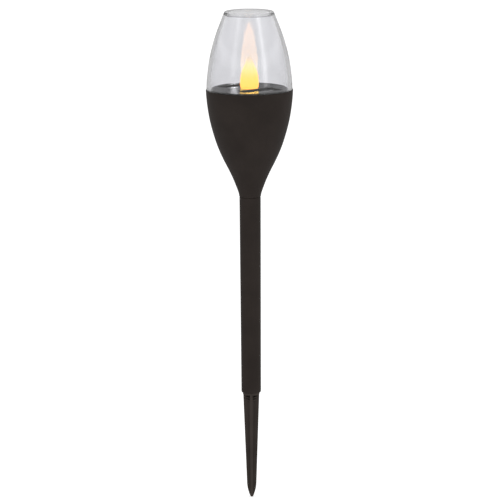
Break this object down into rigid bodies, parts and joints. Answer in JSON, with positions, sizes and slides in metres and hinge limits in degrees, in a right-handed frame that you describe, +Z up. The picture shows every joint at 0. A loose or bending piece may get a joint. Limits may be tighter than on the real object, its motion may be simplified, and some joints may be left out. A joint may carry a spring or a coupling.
{
  "type": "solar tiki torch",
  "caption": "Slim solar garden torch on a ground stake: tulip bowl, clear lift-off shade, yellow LED flame and solar cells on the deck.",
  "frame": {"origin": "on the torch's axis at the underside of the stake's collar, which is where the soil begins", "axes": "+Z up along the torch's axis, X along the long sides of the two solar panels, +Y to the rear panel"},
  "size_m": [0.077, 0.077, 0.4395],
  "materials": {
    "dark_plastic": "satin moulded, near-black brown",
    "deck_plastic": "glossy black",
    "tray_plastic": "fine spark-eroded black",
    "seal_rubber": "soft black",
    "clear_shade": "clear, polished",
    "flame_plastic": "translucent warm yellow",
    "led_epoxy": "clear, polished",
    "holder_plastic": "satin black",
    "panel_board": "black glass-fibre board",
    "solar_cell": "blue-black silicon with fine silver lines",
    "panel_epoxy": "clear, polished",
    "circuit_board": "green solder mask",
    "inductor_body": "lacquered",
    "capacitor_can": "bright can",
    "resistor_body": "lacquered",
    "chip_body": "moulded black",
    "zinc_steel": "zinc plated",
    "switch_housing": "tinned shell",
    "switch_lever": "satin black",
    "tinned_metal": "tinned",
    "nickel_can": "nickel plated",
    "battery_sleeve": "green shrink sleeve",
    "spring_wire": "nickel plated wire",
    "red_wire": "insulation",
    "black_wire": "insulation",
    "white_wire": "insulation"
  },
  "bodies": {
    "stake": {"ground_stake": "dark_plastic"},
    "pole": {"pole": "dark_plastic"},
    "bowl": {"bowl_shell": "dark_plastic"},
    "light_module": {"top_deck": "deck_plastic", "module_tray": "tray_plastic", "module_gasket": "seal_rubber", "shade_seal": "seal_rubber", "flame_diffuser": "flame_plastic", "flame_led": "led_epoxy", "led_leads": "tinned_metal", "led_holder": "holder_plastic", "solar_panel_front": "panel_board", "solar_panel_rear": "panel_board", "solar_cells_front": "solar_cell", "solar_cells_rear": "solar_cell", "panel_epoxy_front": "panel_epoxy", "panel_epoxy_rear": "panel_epoxy", "circuit_board": "circuit_board", "component_leads": "tinned_metal", "inductor": "inductor_body", "capacitor": "capacitor_can", "resistor": "resistor_body", "driver_chip": "chip_body", "board_screws": "zinc_steel", "tray_screws": "zinc_steel", "switch_body": "switch_housing", "switch_terminals": "tinned_metal", "battery_cell": "nickel_can", "battery_sleeve": "battery_sleeve", "positive_contact": "tinned_metal", "negative_contact": "tinned_metal", "contact_spring": "spring_wire", "red_wires": "red_wire", "black_wires": "black_wire", "switch_wires": "white_wire"},
    "shade": {"shade": "clear_shade"},
    "battery_cover": {"battery_cover": "tray_plastic"},
    "switch": {"switch_slider": "switch_lever"}
  },
  "joints": [
    {"name": "pole_lift", "type": "slide", "parent": "stake", "child": "pole", "axis": [0, 0, 1], "range_m": [0, 0.032]},
    {"name": "head_lift", "type": "slide", "parent": "pole", "child": "bowl", "axis": [0, 0, 1], "range_m": [0, 0.027]},
    {"name": "module_lift", "type": "slide", "parent": "bowl", "child": "light_module", "axis": [0, 0, 1], "range_m": [0, 0.05]},
    {"name": "shade_lift", "type": "slide", "parent": "light_module", "child": "shade", "axis": [0, 0, 1], "range_m": [0, 0.04]},
    {"name": "cover_hinge", "type": "hinge", "parent": "light_module", "child": "battery_cover", "pos_m": [0, -0.001, 0.2483], "axis": [1, 0, 0], "range_deg": [0, 90]},
    {"name": "switch_slide", "type": "slide", "parent": "light_module", "child": "switch", "axis": [1, 0, 0], "range_m": [0, 0.002]}
  ]
}
